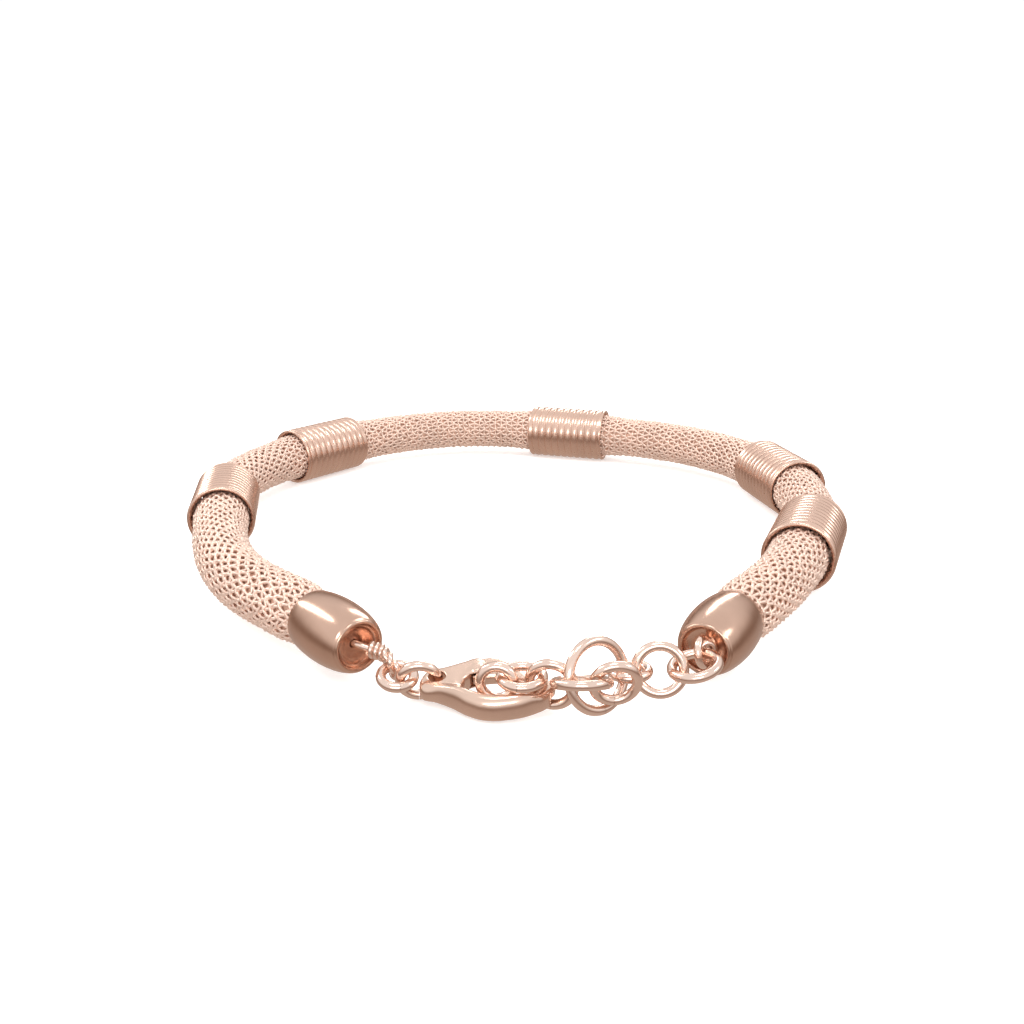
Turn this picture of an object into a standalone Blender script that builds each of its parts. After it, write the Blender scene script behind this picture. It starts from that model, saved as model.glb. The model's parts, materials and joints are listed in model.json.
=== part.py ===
"""A mesh bracelet lying by itself as a closed loop.

A hollow knitted wire tube carries five ribbed sleeve beads. Turned end caps grip its ends, and a wrapped wire
eye comes out of each cap. Two jump rings hold the lobster clasp, whose claw holds the third ring of an
extension chain. Lengths are in metres, +Z is up, and the bracelet rests on z = 0.
"""

import math

import bmesh
import bpy
import numpy as np
from mathutils import Matrix, Vector

MM = 0.001

# The loop, measured between the mesh's centrelines
LOOP_WIDTH = 60.4 * MM
LOOP_DEPTH = 69.2 * MM

# Knitted mesh tube
MESH_DIAMETER = 5.1 * MM
MESH_NECK_DIAMETER = 3.9 * MM
MESH_WALL = 0.6 * MM
MESH_FLARE = 2.4 * MM
MESH_STATION = 3.0 * MM
MESH_SIDES = 12

# Ribbed sleeve beads
BEAD_DIAMETER = 6.5 * MM
BEAD_LENGTH = 9.75 * MM
BEAD_WALL = 0.33 * MM
BEAD_RIBS = 10
BEAD_RIB_DEPTH = 0.13 * MM
BEAD_END_BAND = 0.26 * MM
BEAD_SIDES = 14

# Turned end caps
CAP_DIAMETER = 5.1 * MM
CAP_LENGTH = 6.2 * MM
CAP_HOLE = 1.7 * MM
CAP_FACE_WALL = 0.75 * MM
CAP_DISH_DEPTH = 0.75 * MM
CAP_RIM = 0.17 * MM
CAP_MESH_CLEARANCE = 0.15 * MM
CAP_SIDES = 16

# Wire eyes
LEFT_EYE_DIAMETER = 2.6 * MM
LEFT_EYE_WIRE = 0.64 * MM
RIGHT_EYE_DIAMETER = 2.4 * MM
RIGHT_EYE_WIRE = 0.54 * MM
EYE_STEM_WIRE = 0.5 * MM
EYE_HEAD_THICKNESS = 0.4 * MM
EYE_HEAD_OVERHANG = 0.15 * MM
EYE_WRAP_DIAMETER = 1.24 * MM
EYE_WRAP_PITCH = 0.38 * MM
EYE_WRAP_TURNS = 3

# Jump rings and extension chain
RING_WIRE = 0.72 * MM
JUMP_RING = 3.0 * MM
TAIL_RING = 3.3 * MM
CHAIN_RING = 3.6 * MM
HOOKED_RING = 3.8 * MM
JOINING_RING = 4.3 * MM
BIG_RING = 5.4 * MM
FRONT_RING = 3.7 * MM
BACK_RING = 3.2 * MM
LINK_RING = 4.0 * MM
END_RING = 3.9 * MM
RING_SIDES = 14
WIRE_SIDES = 6

# The row of pieces between the caps' faces: how far it reaches from the left face to the clasp's tail, and
# from the claw to the right face
TAIL_REACH = 4.5 * MM
CHAIN_REACH = 11.0 * MM

# Lobster clasp, lying flat with its far side raised by some degrees
CLASP_LENGTH = 9.4 * MM
CLASP_WIDTH = 5.2 * MM
CLASP_THICKNESS = 1.55 * MM
CLASP_EDGE = 0.25 * MM
CLASP_RAISED = 11
CLAW_NOTCH_DEPTH = 0.85 * MM
CLAW_NOTCH_WIDTH = 1.1 * MM
LEVER_THICKNESS = 0.85 * MM
LEVER_EDGE = 0.12 * MM
LEVER_CLEARANCE = 0.12 * MM
PIN_DIAMETER = 0.6 * MM
PIN_CLEARANCE = 0.1 * MM
TAIL_HOLE = 1.2 * MM
TAIL_HOLE_INSET = 1.1 * MM
TAIL_GROOVE_DEPTH = 0.8 * MM

# The mesh's route from the left cap's face to the right one's, chosen by hand: shares of half the loop's
# width and of half its depth, from the loop's centre
ROUTE_POINTS = (
    (-0.355, -0.985),
    (-0.486, -0.850),
    (-0.707, -0.650),
    (-0.975, -0.010),
    (-1.004, 0.140),
    (-0.786, 0.673),
    (-0.190, 0.999),
    (0.255, 0.928),
    (0.678, 0.764),
    (0.994, 0.280),
    (0.926, -0.267),
    (0.891, -0.340),
    (0.699, -0.666),
    (0.554, -0.841),
    (0.443, -1.000),
)
# How far the points next to each face follow it, from the face on, when the row between the faces changes
END_PULLS = (1.0, 1.0, 0.6)

# Each bead's middle, as a share of the route's length from the left cap's face
BEAD_PLACES = (0.216, 0.354, 0.549, 0.734, 0.854)

# Where the row's pieces lie, chosen by hand. Along and across point to +X and +Y. For the pieces before the
# clasp they are shares of the tail's reach, from the left cap's face. For those of the chain they are shares
# of the chain's reach, from the claw. Each ring's lift is its lowest point's height as a share of its wire,
# and the last two are the direction of its axis in degrees: its heading and its slope.
TAIL_RINGS = (
    # name, diameter, along, across, lift, heading, slope
    ("clasp_ring_1", JUMP_RING, 0.6237, -0.3979, 1.67, -75, 74),
    ("clasp_ring_2", TAIL_RING, 0.9551, -0.4278, 0.04, -85, -14),
)
CHAIN_RINGS = (
    ("chain_ring_1", JUMP_RING, -0.3080, -0.0120, 1.10, -95, 5),
    ("chain_ring_2", CHAIN_RING, -0.1560, 0.0150, 2.94, -101, 86),
    ("chain_ring_3", HOOKED_RING, 0.0255, -0.0040, 0.30, -104, -3),
    ("chain_ring_4", JOINING_RING, 0.2053, -0.0932, 2.42, 92, 69),
    ("chain_ring_5", BIG_RING, 0.3036, 0.0035, 0.19, -55, 17),
    ("chain_ring_6", FRONT_RING, 0.4071, -0.0952, 1.27, -85, -15),
    ("chain_ring_7", BACK_RING, 0.5170, 0.1119, 2.85, 134, 87),
    ("chain_ring_8", LINK_RING, 0.7025, 0.1039, 0.96, -95, 18),
    ("chain_ring_9", END_RING, 0.9149, 0.0845, 3.15, -165, 75),
)
# The wire eyes' loops: along, across, their middle's height as a share of the bracelet's axis height,
# heading, slope, and where the wound knot sits between the cap's hole and the loop
EYE_PLACES = {
    "left": (0.4953, -0.1393, 0.683, 25, 18, 0.6),
    "right": (0.9900, 0.2270, 1.015, -30, 14, 1.0),
}
# The clasp's tail, how far along the clasp the claw's crook holds the chain, and the right cap's face
CLASP_TAIL_PLACE = (0.9997, -0.3537)
CLASP_HEADING = -12
CLAW_PLACE = 0.935
RIGHT_FACE_PLACE = (1.0004, 0.2636)

# The end cap's turned outline from its face to the mesh: share of the length from the mesh end, share of
# the diameter
CAP_OUTLINE = (
    (1.000, 0.76),
    (0.965, 0.80),
    (0.850, 0.89),
    (0.650, 0.97),
    (0.450, 1.00),
    (0.250, 0.985),
    (0.080, 0.94),
    (0.000, 0.90),
)

# The clasp body's outline from its tail round the claw and back: share of the length from the tail, share of
# the width across, positive on the lever's side
CLASP_OUTLINE = (
    (0.000, 0.00),
    (0.020, -0.20),
    (0.130, -0.24),
    (0.260, -0.32),
    (0.400, -0.44),
    (0.540, -0.49),
    (0.720, -0.42),
    (0.880, -0.26),
    (0.985, -0.04),
    (0.985, 0.12),
    (0.925, 0.23),
    (0.840, 0.22),
    (0.835, 0.13),
    (0.885, 0.08),
    (0.880, -0.05),
    (0.780, -0.19),
    (0.640, -0.29),
    (0.480, -0.29),
    (0.370, -0.19),
    (0.320, 0.00),
    (0.370, 0.13),
    (0.450, 0.20),
    (0.450, 0.40),
    (0.370, 0.52),
    (0.260, 0.40),
    (0.130, 0.24),
    (0.030, 0.14),
)

# The lever's outline, in the same shares: thumb bump, arm, tip and back to the pivot
LEVER_OUTLINE = (
    (0.325, 0.42),
    (0.390, 0.57),
    (0.490, 0.60),
    (0.610, 0.53),
    (0.720, 0.37),
    (0.790, 0.20),
    (0.775, 0.12),
    (0.700, 0.14),
    (0.620, 0.17),
    (0.540, 0.20),
    (0.450, 0.16),
    (0.360, 0.15),
    (0.318, 0.23),
)
LEVER_PIVOT = (0.385, 0.27)
CLAW_NOTCH_PLACE = (0.76, 0.02)


def clear_scene():
    for thing in list(bpy.data.objects):
        bpy.data.objects.remove(thing, do_unlink=True)


def new_collection(name, hidden=False):
    collection = bpy.data.collections.new(name)
    bpy.context.scene.collection.children.link(collection)
    collection.hide_render = hidden
    return collection


def new_material(name, colour, roughness):
    material = bpy.data.materials.new(name)
    material.use_nodes = True
    shader = material.node_tree.nodes["Principled BSDF"]
    shader.inputs["Base Color"].default_value = (*colour, 1.0)
    shader.inputs["Roughness"].default_value = roughness
    shader.inputs["Metallic"].default_value = 1.0
    return material


class Route:
    """A smooth curve through the chosen points, read by its distance from the left cap's face."""

    STEPS = 4000

    def __init__(self, points):
        points = np.array(points)
        knots = np.concatenate([[0.0], np.cumsum(np.linalg.norm(np.diff(points, axis=0), axis=1))])
        bends = self.second_derivatives(knots, points)
        places = np.linspace(0.0, knots[-1], self.STEPS)
        index = np.clip(np.searchsorted(knots, places, side="right") - 1, 0, len(knots) - 2)
        span = (knots[index + 1] - knots[index])[:, None]
        after = (places - knots[index])[:, None] / span
        before = 1.0 - after
        curve = before * points[index] + after * points[index + 1]
        curve += ((before**3 - before) * bends[index] + (after**3 - after) * bends[index + 1]) * span**2 / 6
        self.curve = curve
        self.distances = np.concatenate(
            [[0.0], np.cumsum(np.linalg.norm(np.diff(curve, axis=0), axis=1))]
        )
        self.length = self.distances[-1]

    @staticmethod
    def second_derivatives(knots, points):
        """A natural cubic spline's, zero at both ends."""
        gaps = np.diff(knots)
        slopes = np.diff(points, axis=0) / gaps[:, None]
        count = len(knots)
        system = np.eye(count)
        right = np.zeros_like(points)
        for i in range(1, count - 1):
            system[i, i - 1 : i + 2] = gaps[i - 1], 2 * (gaps[i - 1] + gaps[i]), gaps[i]
            right[i] = 6 * (slopes[i] - slopes[i - 1])
        return np.linalg.solve(system, right)

    def point(self, distance):
        x = np.interp(distance, self.distances, self.curve[:, 0])
        y = np.interp(distance, self.distances, self.curve[:, 1])
        return Vector((x, y, AXIS_HEIGHT))


def shares_of(reach, place):
    return reach * Vector(place).to_3d()


def along_clasp(distance):
    heading = math.radians(CLASP_HEADING)
    return distance * Vector((math.cos(heading), math.sin(heading), 0.0))


# From the left cap's face, on its level: the clasp's tail, the claw's crook and the right cap's face
TAIL = shares_of(TAIL_REACH, CLASP_TAIL_PLACE)
CLAW = TAIL + along_clasp(CLAW_PLACE * CLASP_LENGTH)
ROW = CLAW + shares_of(CHAIN_REACH, RIGHT_FACE_PLACE)


def route_points():
    """The chosen points, with the ends moved together or apart until the row fits between the caps' faces."""
    points = [Vector((x * LOOP_WIDTH / 2, y * LOOP_DEPTH / 2)) for x, y in ROUTE_POINTS]
    excess = ROW.to_2d() - (points[-1] - points[0])
    for number, pull in enumerate(END_PULLS):
        points[number] -= pull * excess / 2
        points[-1 - number] += pull * excess / 2
    return points


# The mesh, the beads and the caps share one axis, at half a bead above the table
AXIS_HEIGHT = BEAD_DIAMETER / 2
ROUTE = Route(route_points())
LEFT_FACE = ROUTE.point(0.0)
# How far a cap's cavity reaches from its mesh end, and where the mesh stops inside it
CAP_CAVITY = CAP_LENGTH - CAP_DISH_DEPTH - CAP_FACE_WALL
MESH_END = CAP_LENGTH - CAP_CAVITY + 2 * EYE_HEAD_THICKNESS


def across_flats(size, sides):
    """The corner radius of a polygon whose flats are this far apart."""
    return size / 2 / math.cos(math.pi / sides)


def link(obj, collection, material=None):
    for other in list(obj.users_collection):
        other.objects.unlink(obj)
    collection.objects.link(obj)
    if material is not None:
        obj.data.materials.append(material)
    return obj


def shade(mesh, angle=40):
    mesh.shade_smooth()
    mesh.set_sharp_from_angle(angle=math.radians(angle))


def as_mesh(obj):
    """The curve object made a mesh object, its loose caps welded."""
    bpy.context.view_layer.update()
    graph = bpy.context.evaluated_depsgraph_get()
    mesh = bpy.data.meshes.new_from_object(obj.evaluated_get(graph))
    work = bmesh.new()
    work.from_mesh(mesh)
    bmesh.ops.remove_doubles(work, verts=work.verts, dist=0.001 * MM)
    bmesh.ops.recalc_face_normals(work, faces=work.faces)
    work.to_mesh(mesh)
    work.free()
    solid = bpy.data.objects.new(obj.name, mesh)
    solid.matrix_world = obj.matrix_world.copy()
    name = obj.name
    for collection in obj.users_collection:
        collection.objects.link(solid)
    bpy.data.objects.remove(obj, do_unlink=True)
    solid.name = name
    return solid


def turned(name, profile, sides):
    """A closed profile of (radius, height) points turned round Z. It runs down its outer side first."""
    mesh = bpy.data.meshes.new(name)
    count = len(profile)
    edges = [(i, (i + 1) % count) for i in range(count)]
    mesh.from_pydata([(radius, 0.0, height) for radius, height in profile], edges, [])
    obj = bpy.data.objects.new(name, mesh)
    screw = obj.modifiers.new("Turn", "SCREW")
    screw.axis = "Z"
    screw.angle = 2 * math.pi
    screw.steps = sides
    screw.render_steps = sides
    screw.use_merge_vertices = True
    screw.merge_threshold = 0.001 * MM
    screw.use_smooth_shade = True
    return obj


def axis_frame(point, direction, sides):
    """A placing whose Z follows the direction, and whose flats include one that faces straight down."""
    z_axis = direction.normalized()
    down = Vector((0.0, 0.0, -1.0))
    down = (down - down.dot(z_axis) * z_axis).normalized()
    x_axis = Matrix.Rotation(-math.pi / sides, 3, z_axis) @ down
    y_axis = z_axis.cross(x_axis)
    rotation = Matrix((x_axis, y_axis, z_axis)).transposed().to_4x4()
    return Matrix.Translation(point) @ rotation


def row_point(start, reach, along, across, height):
    """A point of the row between the caps' faces, from a start given from the left face."""
    point = LEFT_FACE + start + shares_of(reach, (along, across))
    point.z = height
    return point


def tail_point(along, across, height):
    return row_point(Vector(), TAIL_REACH, along, across, height)


def chain_point(along, across, height):
    return row_point(CLAW, CHAIN_REACH, along, across, height)


def axis_direction(heading, slope):
    heading = math.radians(heading)
    slope = math.radians(slope)
    return Vector((math.cos(slope) * math.cos(heading), math.cos(slope) * math.sin(heading), math.sin(slope)))


# Knitted mesh tube


def mesh_radius(distance):
    """The tube's outer radius: the neck inside the caps, and the full size past a short flare."""
    past_rim = min(distance, ROUTE.length - distance) - CAP_LENGTH
    share = min(max(past_rim / MESH_FLARE, 0.0), 1.0)
    eased = math.sin(share * math.pi / 2)
    return (MESH_NECK_DIAMETER + (MESH_DIAMETER - MESH_NECK_DIAMETER) * eased) / 2


def mesh_stations():
    """Distances along the route: close together where the tube flares, and even between."""
    near = [MESH_END, CAP_LENGTH - MESH_FLARE / 4]
    near += [CAP_LENGTH + MESH_FLARE * i / 4 for i in range(5)]
    far = [ROUTE.length - distance for distance in reversed(near)]
    count = round((far[0] - near[-1]) / MESH_STATION)
    between = [near[-1] + (far[0] - near[-1]) * i / count for i in range(1, count)]
    return near + between + far


def mesh_tube(collection, material):
    stations = mesh_stations()
    curve = bpy.data.curves.new("mesh_tube", "CURVE")
    curve.dimensions = "3D"
    curve.twist_mode = "Z_UP"
    curve.bevel_depth = 1.0
    curve.bevel_resolution = MESH_SIDES // 2 - 2
    curve.use_fill_caps = False
    spline = curve.splines.new("POLY")
    spline.points.add(len(stations) - 1)
    for place, distance in zip(spline.points, stations):
        place.co = (*ROUTE.point(distance), 1.0)
        place.radius = mesh_radius(distance)
    tube = link(bpy.data.objects.new("mesh_tube", curve), collection)
    tube = as_mesh(tube)
    wall = tube.modifiers.new("Wall", "SOLIDIFY")
    wall.thickness = MESH_WALL
    wall.offset = -1.0
    shade(tube.data)
    tube.data.materials.append(material)
    return tube


# Ribbed sleeve beads


def bead_profile():
    half = BEAD_LENGTH / 2
    crest = across_flats(BEAD_DIAMETER, BEAD_SIDES)
    groove = across_flats(BEAD_DIAMETER - 2 * BEAD_RIB_DEPTH, BEAD_SIDES)
    bore = across_flats(BEAD_DIAMETER - 2 * BEAD_WALL, BEAD_SIDES)
    top = half - BEAD_END_BAND
    pitch = 2 * top / BEAD_RIBS
    profile = [(groove, half), (crest, half - BEAD_RIB_DEPTH)]
    profile += [(crest, top + BEAD_RIB_DEPTH / 2), (groove, top)]
    for rib in range(BEAD_RIBS):
        start = top - rib * pitch
        profile += [(crest, start - 0.25 * pitch), (crest, start - 0.75 * pitch), (groove, start - pitch)]
    profile += [(crest, -top - BEAD_RIB_DEPTH / 2), (crest, BEAD_RIB_DEPTH - half), (groove, -half)]
    profile += [(bore, -half), (bore, half)]
    return profile


def beads(collection, material):
    first = None
    for number, place in enumerate(BEAD_PLACES, 1):
        name = f"ribbed_bead_{number}"
        if first is None:
            bead = first = turned(name, bead_profile(), BEAD_SIDES)
            bead.data.materials.append(material)
        else:
            bead = first.copy()
            bead.name = name
        collection.objects.link(bead)
        middle = place * ROUTE.length
        start = ROUTE.point(middle - BEAD_LENGTH / 2)
        end = ROUTE.point(middle + BEAD_LENGTH / 2)
        centre = ((start + end) / 2 + ROUTE.point(middle)) / 2
        bead.matrix_world = axis_frame(centre, end - start, BEAD_SIDES)


# End caps


def cap_profile():
    """From the face's rim down the outside, then up the bore from the mesh end and out through the dish."""
    outer = [
        (across_flats(CAP_DIAMETER * width, CAP_SIDES), CAP_LENGTH * height) for height, width in CAP_OUTLINE
    ]
    mouth = across_flats(MESH_NECK_DIAMETER + 2 * CAP_MESH_CLEARANCE, CAP_SIDES)
    hole = across_flats(CAP_HOLE, CAP_SIDES)
    rim = outer[0][0] - CAP_RIM
    dish = CAP_LENGTH - CAP_DISH_DEPTH
    inside = [
        (mouth, 0.0),
        (mouth, CAP_CAVITY),
        (hole, CAP_CAVITY),
        (hole, dish),
        ((hole + rim) / 2, dish + 0.15 * CAP_DISH_DEPTH),
        (rim, CAP_LENGTH - 0.3 * CAP_DISH_DEPTH),
        (rim, CAP_LENGTH),
    ]
    return outer + inside


def cap_placing(face, inner):
    """The placing of a cap, its origin in the middle of the mesh end and its Z towards the face."""
    return axis_frame(inner, face - inner, CAP_SIDES)


def caps(collection, material):
    placings = {}
    ends = {
        "left": (LEFT_FACE, ROUTE.point(CAP_LENGTH)),
        "right": (ROUTE.point(ROUTE.length), ROUTE.point(ROUTE.length - CAP_LENGTH)),
    }
    for side, (face, inner) in ends.items():
        cap = turned(f"end_cap_{side}", cap_profile(), CAP_SIDES)
        collection.objects.link(cap)
        cap.data.materials.append(material)
        cap.matrix_world = cap_placing(face, inner)
        placings[side] = cap.matrix_world.copy()
    return placings


# Rings


def ring(name, diameter, wire, collection, material):
    """A round ring lying in its own XY plane."""
    bpy.ops.mesh.primitive_torus_add(
        major_segments=RING_SIDES,
        minor_segments=WIRE_SIDES,
        major_radius=(diameter - wire) / 2,
        minor_radius=wire / 2,
    )
    obj = bpy.context.object
    obj.name = name
    obj.data.name = name
    shade(obj.data, 80)
    return link(obj, collection, material)


def rings(collection, material):
    for placed, table in ((tail_point, TAIL_RINGS), (chain_point, CHAIN_RINGS)):
        for name, diameter, along, across, lift, heading, slope in table:
            obj = ring(name, diameter, RING_WIRE, collection, material)
            rise = (diameter - RING_WIRE) / 2 * math.cos(math.radians(slope))
            middle = placed(along, across, lift * RING_WIRE + RING_WIRE / 2 + rise)
            obj.matrix_world = axis_frame(middle, axis_direction(heading, slope), RING_SIDES)


# Wire eyes

EYES = {
    "left": (LEFT_EYE_DIAMETER, LEFT_EYE_WIRE, tail_point),
    "right": (RIGHT_EYE_DIAMETER, RIGHT_EYE_WIRE, chain_point),
}


def unite(target, piece, cutters):
    join = target.modifiers.new("Join " + piece.name, "BOOLEAN")
    join.operation = "UNION"
    join.object = piece
    hide(piece, cutters)


def cut(target, piece, cutters):
    join = target.modifiers.new("Cut " + piece.name, "BOOLEAN")
    join.operation = "DIFFERENCE"
    join.object = piece
    hide(piece, cutters)


def hide(piece, cutters):
    link(piece, cutters)
    piece.hide_render = True
    piece.display_type = "WIRE"


def wrap_profile():
    """Wire wound round the stem: a barrel with one round rib for each turn."""
    crest = EYE_WRAP_DIAMETER / 2
    groove = crest - EYE_WRAP_PITCH / 4
    top = EYE_WRAP_TURNS * EYE_WRAP_PITCH / 2
    profile = [(0.0, top), (groove, top)]
    for turn in range(EYE_WRAP_TURNS):
        start = top - turn * EYE_WRAP_PITCH
        profile += [(crest, start - 0.3 * EYE_WRAP_PITCH), (crest, start - 0.7 * EYE_WRAP_PITCH)]
        profile += [(groove, start - EYE_WRAP_PITCH)]
    profile += [(0.0, -top)]
    return profile


def head_profile():
    radius = CAP_HOLE / 2 + EYE_HEAD_OVERHANG
    top = EYE_HEAD_THICKNESS / 2
    return [(0.0, top), (radius, top), (radius, -top), (0.0, -top)]


def wire_eye(side, cap_placing, collection, cutters, material):
    """A headed stem through the cap's hole, bent to a wound knot and a closed loop."""
    diameter, wire, placed = EYES[side]
    along, across, height, heading, slope, knot_share = EYE_PLACES[side]
    middle = placed(along, across, height * AXIS_HEIGHT)
    normal = axis_direction(heading, slope)
    name = f"wire_eye_{side}"
    eye = ring(name, diameter, wire, collection, material)
    eye.matrix_world = axis_frame(middle, normal, RING_SIDES)
    head = cap_placing @ Vector((0.0, 0.0, CAP_CAVITY - EYE_HEAD_OVERHANG - EYE_HEAD_THICKNESS / 2))
    mouth = cap_placing @ Vector((0.0, 0.0, CAP_LENGTH - CAP_DISH_DEPTH))
    towards = mouth - middle
    towards -= towards.dot(normal) * normal
    joint = middle + towards.normalized() * (diameter - wire) / 2
    unite(eye, stem_solid(name + "_stem", [head, mouth, joint], EYE_STEM_WIRE), cutters)
    head_placing = axis_frame(head, mouth - head, RING_SIDES)
    unite(eye, turned_solid(name + "_head", head_profile(), head_placing), cutters)
    knot_placing = axis_frame(mouth.lerp(joint, knot_share), joint - mouth, RING_SIDES)
    unite(eye, turned_solid(name + "_wrap", wrap_profile(), knot_placing), cutters)
    return eye


def turned_solid(name, profile, placing):
    """A solid turned from a profile that starts and ends on the axis."""
    mesh = bpy.data.meshes.new(name)
    edges = [(i, i + 1) for i in range(len(profile) - 1)]
    mesh.from_pydata([(radius, 0.0, height) for radius, height in profile], edges, [])
    obj = bpy.data.objects.new(name, mesh)
    screw = obj.modifiers.new("Turn", "SCREW")
    screw.steps = RING_SIDES
    screw.render_steps = RING_SIDES
    screw.use_merge_vertices = True
    screw.merge_threshold = 0.001 * MM
    obj.matrix_world = placing
    return obj


def stem_solid(name, points, wire):
    curve = bpy.data.curves.new(name, "CURVE")
    curve.dimensions = "3D"
    curve.bevel_depth = wire / 2
    curve.bevel_resolution = 1
    curve.use_fill_caps = True
    spline = curve.splines.new("POLY")
    spline.points.add(len(points) - 1)
    for place, point in zip(spline.points, points):
        place.co = (*point, 1.0)
    obj = bpy.data.objects.new(name, curve)
    bpy.context.scene.collection.objects.link(obj)
    return as_mesh(obj)


# Lobster clasp


def outline_curve(name, outline, thickness, edge):
    """A flat piece with rounded edges, its outline smooth through the points."""
    curve = bpy.data.curves.new(name, "CURVE")
    curve.dimensions = "2D"
    curve.fill_mode = "BOTH"
    curve.resolution_u = 3
    curve.extrude = thickness / 2 - edge
    curve.bevel_depth = edge
    curve.bevel_resolution = 1
    curve.offset = -edge
    spline = curve.splines.new("BEZIER")
    spline.bezier_points.add(len(outline) - 1)
    spline.use_cyclic_u = True
    for point, (x, y) in zip(spline.bezier_points, outline):
        point.co = (x * CLASP_LENGTH, y * CLASP_WIDTH, 0.0)
        point.handle_left_type = "AUTO"
        point.handle_right_type = "AUTO"
    return curve


def cylinder(name, diameter, height, centre, sides=12):
    work = bmesh.new()
    bmesh.ops.create_cone(
        work, cap_ends=True, segments=sides, radius1=diameter / 2, radius2=diameter / 2, depth=height
    )
    mesh = bpy.data.meshes.new(name)
    work.to_mesh(mesh)
    work.free()
    obj = bpy.data.objects.new(name, mesh)
    obj.location = centre
    return obj


def box(name, low, high):
    work = bmesh.new()
    bmesh.ops.create_cube(work, size=1.0)
    size = [b - a for a, b in zip(low, high)]
    centre = [(a + b) / 2 for a, b in zip(low, high)]
    bmesh.ops.scale(work, vec=size, verts=work.verts)
    bmesh.ops.translate(work, vec=centre, verts=work.verts)
    mesh = bpy.data.meshes.new(name)
    work.to_mesh(mesh)
    work.free()
    return bpy.data.objects.new(name, mesh)


def clasp(collection, cutters, material):
    """Both pieces hang from one empty at the tail, on the clasp's middle plane."""
    near_side = -min(y for _, y in CLASP_OUTLINE) * CLASP_WIDTH
    lift = near_side * math.sin(math.radians(CLASP_RAISED))
    base = bpy.data.objects.new("clasp_base", None)
    collection.objects.link(base)
    heading = Matrix.Rotation(math.radians(CLASP_HEADING), 4, "Z")
    raised = Matrix.Rotation(math.radians(CLASP_RAISED), 4, "X")
    tail = tail_point(*CLASP_TAIL_PLACE, lift + CLASP_THICKNESS / 2)
    base.matrix_world = Matrix.Translation(tail) @ heading @ raised

    curve = outline_curve("clasp_body", CLASP_OUTLINE, CLASP_THICKNESS, CLASP_EDGE)
    body = link(bpy.data.objects.new("clasp_body", curve), collection)
    body = as_mesh(body)
    body.data.materials.append(material)
    body.parent = base

    pivot = Vector((LEVER_PIVOT[0] * CLASP_LENGTH, LEVER_PIVOT[1] * CLASP_WIDTH, 0.0))
    slot_height = LEVER_THICKNESS + 2 * LEVER_CLEARANCE
    eye = max(pivot.x - min(x for x, _ in LEVER_OUTLINE) * CLASP_LENGTH, PIN_DIAMETER)
    reach = eye + 1.5 * LEVER_CLEARANCE
    slot = box(
        "lever_slot",
        (pivot.x - reach, pivot.y - reach, -slot_height / 2),
        (pivot.x + 3 * eye, pivot.y + 3 * eye, slot_height / 2),
    )
    hole = cylinder("tail_hole", TAIL_HOLE, 2 * CLASP_THICKNESS, (TAIL_HOLE_INSET, 0.0, 0.0))
    groove = box(
        "tail_groove",
        (-CLASP_THICKNESS, -TAIL_HOLE / 2, -CLASP_THICKNESS),
        (TAIL_HOLE_INSET, TAIL_HOLE / 2, TAIL_GROOVE_DEPTH - CLASP_THICKNESS / 2),
    )
    pin = cylinder("lever_pin", PIN_DIAMETER, slot_height + LEVER_CLEARANCE, pivot)
    for piece in (slot, hole, groove, claw_notch()):
        piece.parent = base
        cut(body, piece, cutters)
    pin.parent = base
    unite(body, pin, cutters)

    outline = [(x - LEVER_PIVOT[0], y - LEVER_PIVOT[1]) for x, y in LEVER_OUTLINE]
    curve = outline_curve("clasp_lever", outline, LEVER_THICKNESS, LEVER_EDGE)
    lever = link(bpy.data.objects.new("clasp_lever", curve), collection)
    lever = as_mesh(lever)
    lever.data.materials.append(material)
    lever.parent = base
    lever.location = pivot
    bore = cylinder("lever_bore", PIN_DIAMETER + 2 * PIN_CLEARANCE, 2 * LEVER_THICKNESS, pivot)
    bore.parent = base
    cut(lever, bore, cutters)


def claw_notch():
    """A notch across the underside of the claw's crook, through which the hooked ring passes."""
    start, middle = CLAW_NOTCH_PLACE
    bottom = -CLASP_THICKNESS / 2
    near = middle * CLASP_WIDTH - CLAW_NOTCH_WIDTH / 2
    return box(
        "claw_notch",
        (start * CLASP_LENGTH, near, bottom - CLAW_NOTCH_DEPTH),
        (2 * CLASP_LENGTH, near + CLAW_NOTCH_WIDTH, bottom + CLAW_NOTCH_DEPTH),
    )


def put_on_its_origin(collection):
    """Hangs every piece from one empty, so that the origin is under the middle of the bracelet's box."""
    graph = bpy.context.evaluated_depsgraph_get()
    points = []
    for obj in collection.objects:
        if obj.type == "MESH":
            shape = obj.evaluated_get(graph)
            points += [shape.matrix_world @ vertex.co for vertex in shape.data.vertices]
    low = Vector([min(point[axis] for point in points) for axis in range(3)])
    high = Vector([max(point[axis] for point in points) for axis in range(3)])
    loose = [obj for obj in bpy.data.objects if obj.parent is None]
    origin = bpy.data.objects.new("bracelet_origin", None)
    collection.objects.link(origin)
    for obj in loose:
        obj.parent = origin
    origin.location = (-(low.x + high.x) / 2, -(low.y + high.y) / 2, -low.z)


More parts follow.
